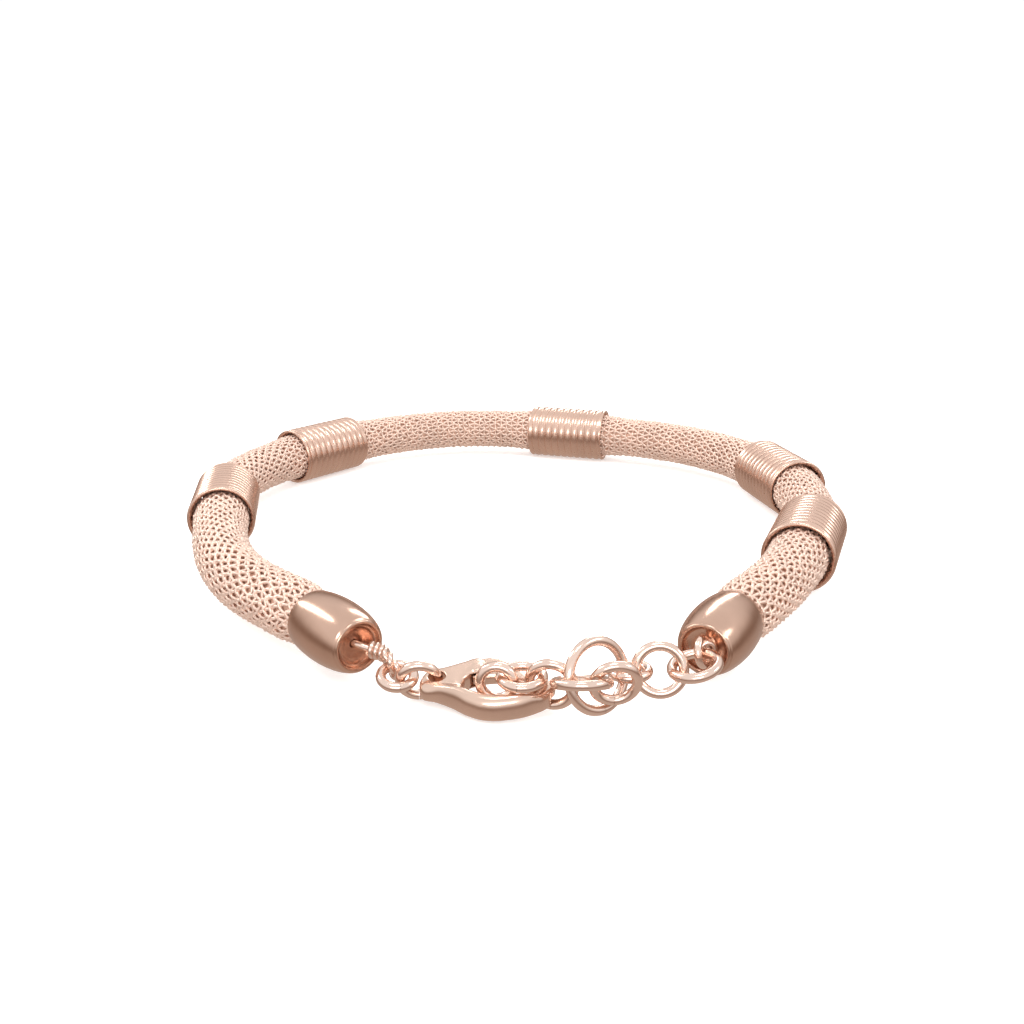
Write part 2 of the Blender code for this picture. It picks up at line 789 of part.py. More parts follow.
def main():
    clear_scene()
    bracelet = new_collection("mesh_bracelet")
    cutters = new_collection("cutters", hidden=True)
    mesh_metal = new_material("mesh_metal", (0.84, 0.63, 0.54), 0.35)
    bead_metal = new_material("bead_metal", (0.80, 0.52, 0.42), 0.2)
    cap_metal = new_material("cap_metal", (0.74, 0.48, 0.38), 0.22)
    ring_metal = new_material("ring_metal", (0.82, 0.54, 0.44), 0.18)
    clasp_metal = new_material("clasp_metal", (0.83, 0.60, 0.52), 0.25)
    mesh_tube(bracelet, mesh_metal)
    beads(bracelet, bead_metal)
    placings = caps(bracelet, cap_metal)
    rings(bracelet, ring_metal)
    clasp(bracelet, cutters, clasp_metal)
    for side, placing in placings.items():
        wire_eye(side, placing, bracelet, cutters, ring_metal)
    put_on_its_origin(bracelet)


main()
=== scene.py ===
"""The looks of a mesh bracelet: knitted wire sleeve, ribbed beads, end caps, clasp and extension chain.

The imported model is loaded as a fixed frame, and each piece is modelled over the node that it stands for.
Lengths are in metres, and the bracelet lies on z = 0.
"""

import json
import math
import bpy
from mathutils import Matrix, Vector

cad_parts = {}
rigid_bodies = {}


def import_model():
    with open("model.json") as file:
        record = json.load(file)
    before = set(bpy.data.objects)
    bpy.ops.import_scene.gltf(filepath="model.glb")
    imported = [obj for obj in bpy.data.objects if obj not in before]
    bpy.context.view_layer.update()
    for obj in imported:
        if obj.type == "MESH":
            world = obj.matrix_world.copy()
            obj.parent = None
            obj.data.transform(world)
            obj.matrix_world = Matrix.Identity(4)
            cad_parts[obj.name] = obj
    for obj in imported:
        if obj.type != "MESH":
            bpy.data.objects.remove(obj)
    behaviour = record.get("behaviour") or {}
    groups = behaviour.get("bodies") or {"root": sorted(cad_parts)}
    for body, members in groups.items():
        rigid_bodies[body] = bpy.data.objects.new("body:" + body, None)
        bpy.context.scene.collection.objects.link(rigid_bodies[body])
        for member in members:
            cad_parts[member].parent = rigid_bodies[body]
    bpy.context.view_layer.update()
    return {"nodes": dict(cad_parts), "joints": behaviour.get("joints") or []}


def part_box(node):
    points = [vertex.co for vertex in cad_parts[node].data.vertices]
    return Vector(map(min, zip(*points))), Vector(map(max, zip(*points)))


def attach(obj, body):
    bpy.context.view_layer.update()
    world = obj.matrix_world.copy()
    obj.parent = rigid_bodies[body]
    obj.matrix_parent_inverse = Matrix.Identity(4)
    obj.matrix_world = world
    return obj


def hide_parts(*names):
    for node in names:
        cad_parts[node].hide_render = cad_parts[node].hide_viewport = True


bl_info = {
    "name": "Mesh Bracelet",
    "version": (1, 0, 0),
    "blender": (4, 5, 0),
    "location": "View3D > Sidebar > Bracelet",
    "description": "Dresses a packed mesh bracelet with knitted wire, beads, caps, a clasp and a chain",
    "category": "Add Mesh",
}

import bpy
import numpy as np
from mathutils import Matrix, Vector

for leftover in list(bpy.data.objects):
    bpy.data.objects.remove(leftover, do_unlink=True)
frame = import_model()

MM = 0.001
MERGE = 0.0005 * MM
FINE_MERGE = 0.0001 * MM
MAIN_BODY = "bracelet"
LEVER_BODY = "lever"
BEADS = [f"ribbed_bead_{number}" for number in range(1, 6)]
RINGS = [f"clasp_ring_{number}" for number in (1, 2)] + [f"chain_ring_{number}" for number in range(1, 10)]


def height_of(node):
    low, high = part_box(node)
    return high.z - low.z


# The mesh's route from the left cap's face to the right one's, given from the loop's centre: shares
# of half the loop's width and of half its depth
LOOP_WIDTH = 60.4 * MM
LOOP_DEPTH = 69.2 * MM
ROUTE_POINTS = (
    (-0.355, -0.985),
    (-0.486, -0.850),
    (-0.707, -0.650),
    (-0.975, -0.010),
    (-1.004, 0.140),
    (-0.786, 0.673),
    (-0.190, 0.999),
    (0.255, 0.928),
    (0.678, 0.764),
    (0.994, 0.280),
    (0.926, -0.267),
    (0.891, -0.340),
    (0.699, -0.666),
    (0.554, -0.841),
    (0.443, -1.000),
)
# The beads' middles, as shares of the route's length
BEAD_PLACES = (0.216, 0.354, 0.549, 0.734, 0.854)

# The end cap's outline from its face to the mesh: share of the length from the mesh end, share of the
# diameter
CAP_OUTLINE = (
    (1.000, 0.76),
    (0.965, 0.80),
    (0.850, 0.89),
    (0.650, 0.97),
    (0.450, 1.00),
    (0.250, 0.985),
    (0.080, 0.94),
    (0.000, 0.90),
)

# The wire eyes' loops: how far their middle lies to the right of the cap's face and beyond it, its height,
# the axis's heading and slope in degrees, and the wound knot's share of the way from the cap to the loop
EYE_PLACES = {
    "left": (2.229 * MM, -0.627 * MM, 2.22 * MM, 25, 18, 0.72),
    "right": (-0.113 * MM, -0.401 * MM, 3.30 * MM, -30, 14, 1.0),
}

# The clasp body's outline from its tail round the claw and back: share of the length from the tail, share of
# the width across, positive on the lever's side
CLASP_OUTLINE = (
    (0.000, 0.00),
    (0.020, -0.20),
    (0.130, -0.24),
    (0.260, -0.32),
    (0.400, -0.44),
    (0.540, -0.49),
    (0.720, -0.42),
    (0.880, -0.26),
    (0.985, -0.04),
    (0.985, 0.12),
    (0.925, 0.23),
    (0.840, 0.22),
    (0.835, 0.13),
    (0.885, 0.08),
    (0.880, -0.05),
    (0.780, -0.19),
    (0.640, -0.29),
    (0.480, -0.29),
    (0.370, -0.19),
    (0.320, 0.00),
    (0.370, 0.13),
    (0.450, 0.20),
    (0.450, 0.40),
    (0.370, 0.52),
    (0.260, 0.40),
    (0.130, 0.24),
    (0.030, 0.14),
)

# In the same shares: the lever's outline from its root over the thumb's bump to the tip and back, its pivot,
# the tail hole's middle, and where the notch in the claw starts along and has its middle across
LEVER_OUTLINE = (
    (0.325, 0.42),
    (0.390, 0.57),
    (0.490, 0.60),
    (0.610, 0.53),
    (0.720, 0.37),
    (0.790, 0.20),
    (0.775, 0.12),
    (0.700, 0.14),
    (0.620, 0.17),
    (0.540, 0.20),
    (0.450, 0.16),
    (0.360, 0.15),
    (0.318, 0.23),
)
LEVER_PIVOT = (0.385, 0.27)
TAIL_HOLE_PLACE = 0.117
CLAW_NOTCH_PLACE = (0.76, 0.02)

# The arm opposite the lever: the shares of the width and of the length between which it rises to its full
# height, and the shares of the width between which its side comes to bulge
ARM_ACROSS = (0.12, 0.31)
ARM_ALONG = (0.06, 0.21)
BELLY_ACROSS = (0.10, 0.20)

# Rounds of smoothing before and after a piece of the clasp is cut, and how wide the pin's heads are, in pins
BODY_ROUNDS = (60, 5)
LEVER_ROUNDS = (12, 4)
PIN_HEAD = 1.2

# The two wires of a row of stitches: how far each swings along the sleeve and where it starts, in courses,
# how far it bulges, as a share of what the wall leaves free, and the bulges to a stitch
ROW_WIRES = (
    (0.50, 0.0, -0.8, 2),
    (0.12, 0.5, 0.5, 1),
)
STITCH_STEPS = 8

# The smoothest and the roughest polish of each kind of plated piece
POLISH = {
    "bead": (0.22, 0.30),
    "cap": (0.17, 0.24),
    "ring": (0.14, 0.20),
    "eye": (0.18, 0.26),
    "clasp": (0.20, 0.27),
}

# The light from all round: its axis, which leans towards the camera, and its tones, from straight against the
# axis at 0 to straight along it at 1
SKY_AXIS = (0.0, -0.22, 0.975)
SKY_TONES = (
    (0.00, (0.54, 0.45, 0.39)),
    (0.30, (0.48, 0.39, 0.34)),
    (0.42, (0.26, 0.18, 0.14)),
    (0.49, (0.36, 0.28, 0.24)),
    (0.60, (0.78, 0.74, 0.71)),
    (0.72, (0.92, 0.91, 0.90)),
    (1.00, (0.86, 0.85, 0.84)),
)
SKY_STRENGTH = 1.05
WHITE = (1.0, 1.0, 1.0, 1.0)

# The oval lights: place, what they lie along, length and power in watts
LIGHTS = {
    "key_light": ((-0.219, 0.112, 0.172), "left", 0.26, 0.20),
    "back_light": ((0.072, 0.299, 0.167), "right", 0.26, 0.20),
    "fill_light": ((0.235, -0.066, 0.174), "right", 0.12, 0.08),
    "front_light": ((-0.02, -0.286, 0.10), "across", 0.20, 0.16),
    "top_light": ((-0.01, -0.07, 0.25), "across", 0.10, 0.10),
}
LIGHT_TONE = (1.0, 0.99, 0.97)


# Settings


def length(name, description, value):
    return bpy.props.FloatProperty(
        name=name, description=description, default=value, unit="LENGTH", precision=5
    )


def angle(name, description, degrees):
    return bpy.props.FloatProperty(
        name=name, description=description, default=math.radians(degrees), subtype="ANGLE"
    )


def measure(name, description, value):
    return bpy.props.FloatProperty(name=name, description=description, default=value)


def number(name, description, value):
    return bpy.props.IntProperty(name=name, description=description, default=value)


def colour(name, description, value):
    return bpy.props.FloatVectorProperty(
        name=name, description=description, default=value, subtype="COLOR", size=3, min=0.0, max=1.0
    )


class KnitSettings(bpy.types.PropertyGroup):
    diameter: length("Diameter", "Outer diameter of the knitted sleeve", height_of("mesh_tube"))
    neck: length("Neck", "Outer diameter where the caps grip the sleeve", 3.9 * MM)
    flare: length("Flare", "Length over which the sleeve widens past a cap", 2.4 * MM)
    wall: length("Wall", "Thickness of the knitted wall", 0.6 * MM)
    swell: length("Swell", "How much the sleeve's radius grows into a bead's mouth", 0.16 * MM)
    wire: length("Wire", "Diameter of the knitting wire", 0.27 * MM)
    wales: number("Wales", "Stitches round the sleeve", 17)
    course: length("Course", "Distance from one row of stitches to the next", 0.8 * MM)
    stray: length("Stray", "How far a stitch strays from its even place", 0.10 * MM)
    colour: colour("Wire colour", "Colour of the knitting wire", (0.86, 0.655, 0.555))
    # The lining colour is painted shade: the brown that shows through the stitches
    shade: colour("Lining colour", "Colour of the sleeve's inner side", (0.72, 0.47, 0.36))


class BeadSettings(bpy.types.PropertyGroup):
    diameter: length("Diameter", "Outer diameter of a bead", height_of("ribbed_bead_3"))
    length: length("Length", "Length of a bead", 9.75 * MM)
    mouth: length("Mouth", "Width of the rolled rim round each mouth", 0.52 * MM)
    mouth_depth: length("Mouth depth", "How far the rim rolls into the mouth", 0.6 * MM)
    ribs: number("Ribs", "Ribs on a bead", 10)
    rib_depth: length("Rib depth", "Depth of the grooves between the ribs", 0.24 * MM)
    end_band: length("End band", "Width of the plain band at each end", 0.5 * MM)
    lip: length("Lip", "Rounding of the ends", 0.2 * MM)
    colour: colour("Colour", "Colour of the beads", (0.80, 0.56, 0.455))


class CapSettings(bpy.types.PropertyGroup):
    diameter: length("Diameter", "Largest diameter of a cap", height_of("end_cap_left"))
    length: length("Length", "Length of a cap", 6.2 * MM)
    hole: length("Hole", "Diameter of the hole in the face", 0.6 * MM)
    dish: length("Dish", "Depth of the dished face", 0.75 * MM)
    face_wall: length("Face wall", "Thickness of the metal behind the dish", 0.75 * MM)
    rim: length("Rim", "Width of the rim round the dish", 0.3 * MM)
    colour: colour("Colour", "Colour of the caps", (0.67, 0.45, 0.35))


class RingSettings(bpy.types.PropertyGroup):
    joint: length("Joint", "Width of the closed joint in a ring", 0.02 * MM)
    colour: colour("Colour", "Colour of the rings and eyes", (0.92, 0.71, 0.61))


class EyeSettings(bpy.types.PropertyGroup):
    left_size: length("Left loop", "Outer diameter of the left eye's loop", 2.6 * MM)
    left_wire: length("Left wire", "Thickness of the left eye's twisted pair", 0.74 * MM)
    right_size: length("Right loop", "Outer diameter of the right eye's loop", 2.4 * MM)
    right_wire: length("Right wire", "Thickness of the right eye's wire", 0.54 * MM)
    stem: length("Stem", "Thickness of the stem between cap and loop", 0.5 * MM)
    knot: length("Knot", "Outer diameter of the wound knot", 1.3 * MM)
    turns: number("Turns", "Turns of wire in the knot", 3)


class ClaspSettings(bpy.types.PropertyGroup):
    length: length("Length", "Length of the clasp", 9.4 * MM)
    width: length("Width", "Width that the outline's shares are taken of", 5.2 * MM)
    thickness: length("Thickness", "Thickness of the clasp's body", 1.55 * MM)
    edge: length("Edge", "Rounding of the body's edges", 0.42 * MM)
    swell: length("Swell", "How much higher the arm opposite the lever is", 0.42 * MM)
    belly: length("Belly", "How far that arm's outer side bulges", 0.22 * MM)
    lever_thickness: length("Lever thickness", "Thickness of the lever", 0.85 * MM)
    lever_edge: length("Lever edge", "Rounding of the lever's edges", 0.2 * MM)
    clearance: length("Clearance", "Gap between the lever and its slot", 0.12 * MM)
    pin: length("Pin", "Diameter of the lever's pin", 0.6 * MM)
    tail_hole: length("Tail hole", "Diameter of the hole in the tail", 1.2 * MM)
    tail_groove: length("Tail groove", "Depth of the groove under the tail", 0.8 * MM)
    notch_depth: length("Notch depth", "Depth of the notch under the claw", 0.85 * MM)
    notch_width: length("Notch width", "Width of the notch under the claw", 1.1 * MM)
    grain: length("Grain", "Size of the faces that the cast pieces are smoothed in", 0.06 * MM)
    heading: angle("Heading", "Direction of the clasp's length", -12)
    colour: colour("Colour", "Colour of the clasp", (0.84, 0.62, 0.51))


class StageSettings(bpy.types.PropertyGroup):
    camera_height: length("Camera height", "Height of the camera above the floor", 33.6 * MM)
    camera_distance: length("Camera distance", "Distance of the camera before the origin", 96.513 * MM)
    camera_side: length("Camera side", "Distance of the camera to the left of the origin", 0.196 * MM)
    camera_pitch: angle("Pitch", "Camera angle below the level", 17.65)
    focal_pixels: measure("Focal length", "Focal length in pixels of a square picture", 1000.0)
    picture_pixels: number("Picture", "Pixels along a side", 1024)
    floor_colour: colour("Floor", "Colour of the floor", (0.93, 0.93, 0.93))
    light_width: length("Light width", "Width of the oval lights", 50 * MM)
    floor_light: measure("Floor light", "Strength of the light that falls on the floor", 2.2)
    floor_glow: measure("Floor glow", "Strength of the floor's glow, which lifts its shadows", 0.35)


SETTINGS = {
    "knit": KnitSettings,
    "bead": BeadSettings,
    "cap": CapSettings,
    "ring": RingSettings,
    "eye": EyeSettings,
    "clasp": ClaspSettings,
    "stage": StageSettings,
}


def settings(name):
    return getattr(bpy.context.scene, "bracelet_" + name)


# The route and the places of the pieces


class Route:
    """A smooth curve through the chosen points, read by its distance from the left cap's face."""

    STEPS = 4000

    def __init__(self, points, height):
        points = np.array(points)
        knots = np.concatenate([[0.0], np.cumsum(np.linalg.norm(np.diff(points, axis=0), axis=1))])
        bends = self.second_derivatives(knots, points)
        places = np.linspace(0.0, knots[-1], self.STEPS)
        index = np.clip(np.searchsorted(knots, places, side="right") - 1, 0, len(knots) - 2)
        span = (knots[index + 1] - knots[index])[:, None]
        after = (places - knots[index])[:, None] / span
        before = 1.0 - after
        curve = before * points[index] + after * points[index + 1]
        curve += ((before**3 - before) * bends[index] + (after**3 - after) * bends[index + 1]) * span**2 / 6
        self.curve = curve
        self.distances = np.concatenate(
            [[0.0], np.cumsum(np.linalg.norm(np.diff(curve, axis=0), axis=1))]
        )
        self.length = self.distances[-1]
        self.height = height

    @staticmethod
    def second_derivatives(knots, points):
        """A natural cubic spline's, zero at both ends."""
        gaps = np.diff(knots)
        slopes = np.diff(points, axis=0) / gaps[:, None]
        count = len(knots)
        system = np.eye(count)
        right = np.zeros_like(points)
        for i in range(1, count - 1):
            system[i, i - 1 : i + 2] = gaps[i - 1], 2 * (gaps[i - 1] + gaps[i]), gaps[i]
            right[i] = 6 * (slopes[i] - slopes[i - 1])
        return np.linalg.solve(system, right)

    def points(self, distances):
        distances = np.asarray(distances, float)
        x = np.interp(distances, self.distances, self.curve[:, 0])
        y = np.interp(distances, self.distances, self.curve[:, 1])
        return np.stack([x, y, np.full_like(x, self.height)], axis=-1)

    def point(self, distance):
        return Vector(self.points(distance))

    def sides(self, distances):
        """Level directions across the route, pointing to its right."""
        reach = 0.3 * MM
        along = self.points(distances + reach) - self.points(distances - reach)
        along /= np.linalg.norm(along, axis=-1, keepdims=True)
        return np.stack([along[..., 1], -along[..., 0], np.zeros_like(along[..., 0])], axis=-1)


def corners(node):
    """A node's own corner points, each once."""
    points = np.array([vertex.co for vertex in frame["nodes"][node].data.vertices])
    return np.unique(points.round(7), axis=0)


def bead_lie(route, place):
    """A bead's middle, half way from the route to the line between its ends, and that line's direction."""
    middle = place * route.length
    half = settings("bead").length / 2
    start, end = route.point(middle - half), route.point(middle + half)
    return ((start + end) / 2 + route.point(middle)) / 2, end - start


def laid_route():
    """The route moved to where the frame's beads are."""
    height = height_of(BEADS[0]) / 2
    route = Route([(x * LOOP_WIDTH / 2, y * LOOP_DEPTH / 2) for x, y in ROUTE_POINTS], height)
    moves = []
    for node, place in zip(BEADS, BEAD_PLACES):
        middle, _ = bead_lie(route, place)
        moves.append(corners(node).mean(axis=0) - np.array(middle))
    route.curve += np.mean(moves, axis=0)[:2]
    return route


def along_axis(point, direction):
    """A placing whose Z follows the direction and whose X points as far down as it can."""
    z_axis = Vector(direction).normalized()
    down = Vector((0.0, 0.0, -1.0))
    x_axis = (down - down.dot(z_axis) * z_axis).normalized()
    y_axis = z_axis.cross(x_axis)
    turn = Matrix((x_axis, y_axis, z_axis)).transposed().to_4x4()
    return Matrix.Translation(Vector(point)) @ turn


def turns(whole, steps):
    """Even turns from none to the whole."""
    return [whole * step / steps for step in range(steps + 1)]


def direction_of(heading, slope):
    heading = math.radians(heading)
    slope = math.radians(slope)
    return Vector((math.cos(slope) * math.cos(heading), math.cos(slope) * math.sin(heading), math.sin(slope)))


def cap_placings(route):
    """The caps' placings, the origin in the middle of the mesh end and Z towards the face."""
    reach = settings("cap").length
    ends = {
        "left": (route.point(0.0), route.point(reach)),
        "right": (route.point(route.length), route.point(route.length - reach)),
    }
    return {side: along_axis(inner, face - inner) for side, (face, inner) in ends.items()}


# Modelling


def deselect():
    bpy.ops.object.select_all(action="DESELECT")


def choose(*objects):
    deselect()
    for obj in objects:
        obj.select_set(True)
    bpy.context.view_layer.objects.active = objects[0]


def settle(obj, placing):
    """Puts the piece's place in its mesh, with its object at the origin."""
    choose(obj)
    obj.matrix_world = placing @ obj.matrix_world
    bpy.ops.object.transform_apply(location=True, rotation=True, scale=True)
    return obj


def tidy_faces(obj, merge=MERGE):
    """Merges doubles and turns every face outwards."""
    choose(obj)
    bpy.ops.object.mode_set(mode="EDIT")
    bpy.ops.mesh.select_all(action="SELECT")
    bpy.ops.mesh.remove_doubles(threshold=merge)
    bpy.ops.mesh.normals_make_consistent(inside=False)
    bpy.ops.object.mode_set(mode="OBJECT")
    return obj


def smooth(obj, degrees):
    """Shades the piece smooth, but for edges sharper than this."""
    choose(obj)
    bpy.ops.object.shade_smooth_by_angle(angle=math.radians(degrees))
    return obj


def apply_modifiers(obj):
    choose(obj)
    for modifier in list(obj.modifiers):
        bpy.ops.object.modifier_apply(modifier=modifier.name)
    return obj


def as_mesh(obj):
    choose(obj)
    bpy.ops.object.convert(target="MESH")
    return tidy_faces(bpy.context.object)


def join(name, objects):
    choose(*objects)
    bpy.ops.object.join()
    joined = bpy.context.object
    joined.name = name
    joined.data.name = name
    return joined


def turned(name, outline, sides):
    """A closed outline of (radius, height) points, drawn by extruding one point and spun round Z."""
    deselect()
    bpy.ops.mesh.primitive_plane_add(size=1 * MM)
    obj = bpy.context.object
    obj.name = name
    obj.data.name = name
    bpy.ops.object.mode_set(mode="EDIT")
    bpy.ops.mesh.select_all(action="SELECT")
    bpy.ops.mesh.merge(type="CENTER")
    points = [Vector((radius, 0.0, height)) for radius, height in outline]
    bpy.ops.transform.translate(value=points[0])
    for before, after in zip(points, points[1:] + points[:1]):
        bpy.ops.mesh.extrude_vertices_move(TRANSFORM_OT_translate={"value": after - before})
    bpy.ops.mesh.select_all(action="SELECT")
    bpy.ops.mesh.remove_doubles(threshold=MERGE)
    bpy.ops.mesh.select_all(action="SELECT")
    bpy.ops.mesh.spin(steps=sides, angle=2 * math.pi, center=(0.0, 0.0, 0.0), axis=(0.0, 0.0, 1.0))
    bpy.ops.object.mode_set(mode="OBJECT")
    return tidy_faces(obj)


def wire_curve(name, paths, wire, sides, closed=False):
    """Round wires along paths of points, one spline each."""
    data = bpy.data.curves.new(name, "CURVE")
    data.dimensions = "3D"
    data.twist_mode = "MINIMUM"
    data.bevel_depth = wire / 2
    data.bevel_resolution = sides // 2 - 2
    data.use_fill_caps = not closed
    for path in paths:
        spline = data.splines.new("POLY")
        spline.points.add(len(path) - 1)
        flat = np.concatenate([path, np.ones((len(path), 1))], axis=1)
        spline.points.foreach_set("co", flat.ravel())
        spline.use_cyclic_u = closed
        spline.use_smooth = True
    obj = bpy.data.objects.new(name, data)
    bpy.context.scene.collection.objects.link(obj)
    return as_mesh(obj)


def closed_ring(name, diameter, wire, gap):
    """A ring spun from a wire's round end, its two ends butted at +X."""
    sides = 16
    steps = 72
    middle = (diameter - wire) / 2
    deselect()
    bpy.ops.mesh.primitive_circle_add(
        vertices=sides,
        radius=wire / 2,
        fill_type="NGON",
        location=(middle, 0.0, 0.0),
        rotation=(math.pi / 2, 0.0, 0.0),
    )
    obj = bpy.context.object
    obj.name = name
    obj.data.name = name
    bpy.ops.object.transform_apply(location=True, rotation=True, scale=True)
    bpy.ops.object.mode_set(mode="EDIT")
    bpy.ops.mesh.select_all(action="SELECT")
    bpy.ops.mesh.spin(
        steps=steps, angle=2 * math.pi - gap / middle, center=(0.0, 0.0, 0.0), axis=(0.0, 0.0, 1.0)
    )
    bpy.ops.object.mode_set(mode="OBJECT")
    return tidy_faces(obj, FINE_MERGE)


# Finishes


class Amount:
    """A value in a tree of nodes that takes part in sums."""

    def __init__(self, nodes, socket):
        self.nodes = nodes
        self.socket = socket

    def maths(self, operation, first, second):
        return self.nodes.node("ShaderNodeMath", {"operation": operation}, [first, second])

    def __add__(self, other):
        return self.maths("ADD", self, other)

    __radd__ = __add__

    def __sub__(self, other):
        return self.maths("SUBTRACT", self, other)

    def __rsub__(self, other):
        return self.maths("SUBTRACT", other, self)

    def __mul__(self, other):
        return self.maths("MULTIPLY", self, other)

    __rmul__ = __mul__


class Nodes:
    """The nodes of a material or of the world."""

    def __init__(self, owner):
        owner.use_nodes = True
        self.tree = owner.node_tree

    def feed(self, node, socket, value):
        """Links an amount to a node's socket, or sets a plain value there."""
        if isinstance(value, Amount):
            self.tree.links.new(value.socket, node.inputs[socket])
        else:
            node.inputs[socket].default_value = value

    def node(self, kind, options, values, output=0):
        """A node with its settings and the values or links of its sockets, and one of its outputs."""
        node = self.tree.nodes.new(kind)
        for key, value in options.items():
            if key == "stops":
                self.set_stops(node.color_ramp.elements, value)
            else:
                setattr(node, key, value)
        pairs = values.items() if isinstance(values, dict) else enumerate(values)
        for key, value in pairs:
            self.feed(node, key, value)
        return Amount(self, node.outputs[output])

    @staticmethod
    def set_stops(elements, stops):
        """A ramp's tones, of which the first and the last are there at 0 and 1 from the start."""
        for position, _ in stops[1:-1]:
            elements.new(position)
        for element, (_, tone) in zip(elements, stops):
            element.color = (*tone, 1.0)

    def spread(self, amount, low, high, lowest=0.0, highest=1.0):
        """The amount mapped from low..high to lowest..highest."""
        return self.node("ShaderNodeMapRange", {}, [amount, low, high, lowest, highest])

    def blend(self, factor, first, second):
        """A colour between two colours."""
        return self.node("ShaderNodeMix", {"data_type": "RGBA"}, {0: factor, 6: first, 7: second}, 2)


class Finish(Nodes):
    """A material and the nodes that vary it, a metal's unless it is given otherwise."""

    def __init__(self, name):
        self.material = bpy.data.materials.new(name)
        super().__init__(self.material)
        self.shader = self.tree.nodes["Principled BSDF"]
        self.place = self.node("ShaderNodeTexCoord", {}, {}, "Object")
        self.give("Metallic", 1.0)

    def give(self, socket, value):
        self.feed(self.shader, socket, value)

    def noise(self, size, detail=2.0, stretch=(1.0, 1.0, 1.0)):
        """Noise with features of about this size, shorter along an axis where its stretch is above 1."""
        place = self.node("ShaderNodeMapping", {}, {"Vector": self.place, "Scale": stretch})
        return self.node("ShaderNodeTexNoise", {}, {"Vector": place, "Scale": 1 / size, "Detail": detail})

    def bump(self, height, depth):
        return self.node("ShaderNodeBump", {}, {"Height": height, "Distance": depth})


def tint(base, share):
    """A colour made darker by a share below 1 and lighter by one above."""
    return (*(min(part * share, 1.0) for part in base), 1.0)


def plated_metal(piece, base, grain=0.5 * MM, stretch=(1.0, 1.0, 1.0), scratch=0.0005 * MM):
    """Rose gold plating: slightly cloudy colour, uneven polish and faint hairlines."""
    cloud_size = 2.6 * MM
    finish = Finish(piece + "_plating")
    clouds = finish.spread(finish.noise(cloud_size), 0.32, 0.68)
    finish.give("Base Color", finish.blend(clouds, tint(base, 0.95), tint(base, 1.04)))
    wear = finish.noise(grain, 4.0, stretch)
    finish.give("Roughness", finish.spread(wear, 0.3, 0.7, *POLISH[piece]))
    hairlines = finish.noise(grain / 3, 3.0, stretch)
    finish.give("Normal", finish.bump(hairlines, scratch))
    return finish.material


def knit_wire_metal(name, base):
    """The knitting wire: pale plating with dull spots along it and a slightly rough skin."""
    drift_size = 2.4 * MM
    spot_size = 0.22 * MM
    skin_size = 0.06 * MM
    skin_depth = 0.004 * MM
    finish = Finish(name)
    spots = finish.noise(spot_size)
    mixed = finish.spread(finish.noise(drift_size) * 0.5 + spots * 0.5, 0.36, 0.62)
    finish.give("Metallic", 0.75)
    finish.give("Base Color", finish.blend(mixed, tint(base, 0.90), tint(base, 1.03)))
    finish.give("Roughness", finish.spread(spots, 0.3, 0.7, 0.30, 0.44))
    finish.give("Normal", finish.bump(finish.noise(skin_size), skin_depth))
    return finish.material


def painted_shade_lining_metal(name, base):
    """A sheet inside the sleeve whose brown, in uneven patches, is painted shade seen through the stitches.
    """
    patch_size = 0.5 * MM
    finish = Finish(name)
    patches = finish.spread(finish.noise(patch_size, 3.0), 0.35, 0.65)
    finish.give("Base Color", finish.blend(patches, tint(base, 0.8), tint(base, 1.15)))
    finish.give("Metallic", 0.4)
    finish.give("Roughness", 0.6)
    return finish.material


def dress(obj, materials, nodes, body=MAIN_BODY):
    """Gives a finished piece its materials and its body, and hides the nodes that it stands for."""
    obj.data.materials.clear()
    for material in materials:
        obj.data.materials.append(material)
    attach(obj, body)
    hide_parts(*nodes)


# The knitted sleeve


def sleeve_radius(route, distances):
    """The sleeve's outer radius: the neck at the caps, then full size, and more at the beads' mouths."""
    knit = settings("knit")
    past_rim = np.minimum(distances, route.length - distances) - settings("cap").length
    share = np.clip(past_rim / knit.flare, 0.0, 1.0)
    radius = (knit.neck + (knit.diameter - knit.neck) * np.sin(share * math.pi / 2)) / 2
    middles = np.array(BEAD_PLACES)[:, None] * route.length
    outside = (np.abs(distances - middles) - settings("bead").length / 2).min(axis=0)
    return radius + knit.swell * np.exp(-(np.maximum(outside, 0.0) / knit.flare) ** 2)


def strayed(random, count, steps):
    """A cyclic run of chance amounts between -1 and 1, one for each step, changing smoothly."""
    marks = random.uniform(-1.0, 1.0, 2 * count)
    places = np.arange(count * steps) * 2.0 / steps
    return np.interp(places, np.arange(2 * count + 1), np.append(marks, marks[0]))


def sleeve_path(route, places, angles, radii):
    """Points round the sleeve, at these places along it."""
    sides = route.sides(places)
    path = route.points(places) + sides * (radii * np.cos(angles))[:, None]
    path[:, 2] += radii * np.sin(angles)
    return path


def knit_row(route, distance, turn, random):
    """One row: a wire that zigzags to the next rows and bulges between, and a wire round the row's edge."""
    knit = settings("knit")
    steps = STITCH_STEPS
    stray = knit.stray
    stray_out = 0.4 * stray
    depth = (knit.wall - knit.wire) / 2
    step = np.arange(knit.wales * steps) * 2 * math.pi / steps
    swing = np.cos(step) + np.cos(3 * step) / 9
    paths = []
    for reach, start, bulge, bulges in ROW_WIRES:
        places = distance + start * knit.course + reach * knit.course * swing
        places = places + stray * strayed(random, knit.wales, steps)
        even = step / (2 * math.pi) + turn + stray / knit.course * strayed(random, knit.wales, steps)
        radii = sleeve_radius(route, places) - knit.wall / 2
        radii = radii + depth * (bulge * np.cos(bulges * step))
        radii = radii + stray_out * strayed(random, knit.wales, steps)
        paths.append(sleeve_path(route, places, even * 2 * math.pi / knit.wales, radii))
    return paths


